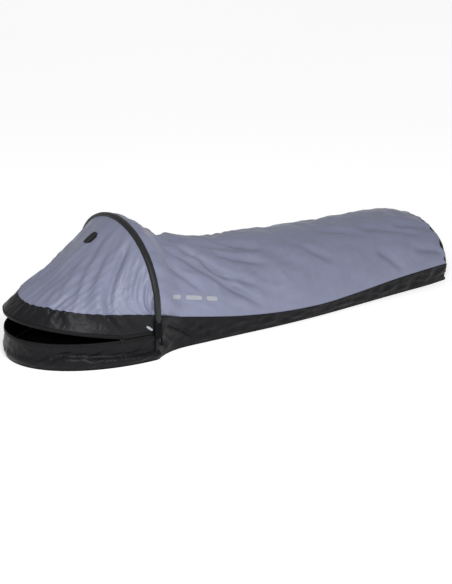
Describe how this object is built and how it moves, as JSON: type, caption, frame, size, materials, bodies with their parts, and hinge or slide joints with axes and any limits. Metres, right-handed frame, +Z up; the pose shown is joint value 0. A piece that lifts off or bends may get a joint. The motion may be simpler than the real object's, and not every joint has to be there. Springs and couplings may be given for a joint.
{
  "type": "bivy sack",
  "caption": "Low one-person bivy sack with a black tub floor, grey canopy and a hood held up over the head by one bent pole in a sleeve, with a zipped mouth.",
  "frame": {"origin": "on the ground at the ground_face mount, on the middle line and 28 mm towards the foot from the middle of the length", "axes": "+Z up, +X towards the foot end, -Y the right side of a sleeper on their back"},
  "size_m": [2.0252, 0.6494, 0.504],
  "materials": {
    "tub_fabric": "black coated ripstop, slight sheen",
    "canopy_fabric": "grey-lavender waterproof ripstop, soft sheen",
    "band_fabric": "black coated ripstop, slight sheen",
    "sleeve_fabric": "charcoal woven nylon",
    "webbing": "black woven webbing",
    "zip_tape": "black woven zip tape",
    "zip_coil": "moulded nylon coil",
    "zip_metal": "black painted die casting",
    "pole_plastic": "acetal tube",
    "tip_plastic": "moulded nylon",
    "ferrule_metal": "drawn aluminium",
    "cord_elastic": "braided shock cord",
    "seam_tape": "clear bonded film"
  },
  "bodies": {
    "sack": {"floor_panel": "tub_fabric", "head_wall": "tub_fabric", "foot_end_panel": "tub_fabric", "canopy_rear": "canopy_fabric", "canopy_front": "canopy_fabric", "lower_zip_tape": "zip_tape", "lower_zip_coil": "zip_coil", "zip_end_stop_right": "zip_tape", "tub_wall_right": "tub_fabric", "seam_tape_right": "seam_tape", "pole_anchor_right": "webbing", "zip_end_stop_left": "zip_tape", "tub_wall_left": "tub_fabric", "seam_tape_left": "seam_tape", "pole_anchor_left": "webbing"},
    "hoop": {"pole_sleeve": "sleeve_fabric", "pole_section_right": "pole_plastic", "pole_section_top": "pole_plastic", "pole_section_left": "pole_plastic", "shock_cord": "cord_elastic", "hood_panel": "canopy_fabric", "closed_zip_right": "zip_tape", "hood_band_end_right": "band_fabric", "pole_ferrule_right": "ferrule_metal", "pole_tip_right": "tip_plastic", "pole_pocket_right": "webbing", "closed_zip_left": "zip_tape", "hood_band_end_left": "band_fabric", "pole_ferrule_left": "ferrule_metal", "pole_tip_left": "tip_plastic", "pole_pocket_left": "webbing"},
    "hood_rim": {"upper_zip_tape": "zip_tape", "upper_zip_coil": "zip_coil", "hood_band": "band_fabric"},
    "slider": {"zip_slider": "zip_metal"},
    "pull": {"zip_pull": "zip_metal"},
    "loop_right": {"stake_loop_right": "webbing"},
    "loop_left": {"stake_loop_left": "webbing"}
  },
  "joints": [
    {"name": "hoop_fold", "type": "hinge", "parent": "sack", "child": "hoop", "pos_m": [-0.562, 0, 0.109], "axis": [0, 1, 0], "range_deg": [0, 15], "deforming": ["canopy_front"]},
    {"name": "hood_lift", "type": "hinge", "parent": "hoop", "child": "hood_rim", "pos_m": [-0.7, 0, 0.112], "axis": [0, 1, 0], "range_deg": [-11, 45], "deforming": ["hood_panel", "closed_zip_right", "hood_band_end_right", "closed_zip_left", "hood_band_end_left"]},
    {"name": "zip_slide", "type": "slide", "parent": "sack", "child": "slider", "axis": [0.979, -0.2041, 0], "range_m": [0, 0.045]},
    {"name": "pull_swing", "type": "hinge", "parent": "slider", "child": "pull", "pos_m": [-0.71141, -0.29772, 0.1145], "axis": [-0.979, 0.2041, 0], "range_deg": [0, 110]},
    {"name": "loop_swing_right", "type": "hinge", "parent": "hoop", "child": "loop_right", "pos_m": [-0.549, -0.318, 0.0945], "axis": [0, -1, 0], "range_deg": [0, 110]},
    {"name": "loop_swing_left", "type": "hinge", "parent": "hoop", "child": "loop_left", "pos_m": [-0.549, 0.318, 0.0945], "axis": [0, -1, 0], "range_deg": [0, 110]}
  ]
}
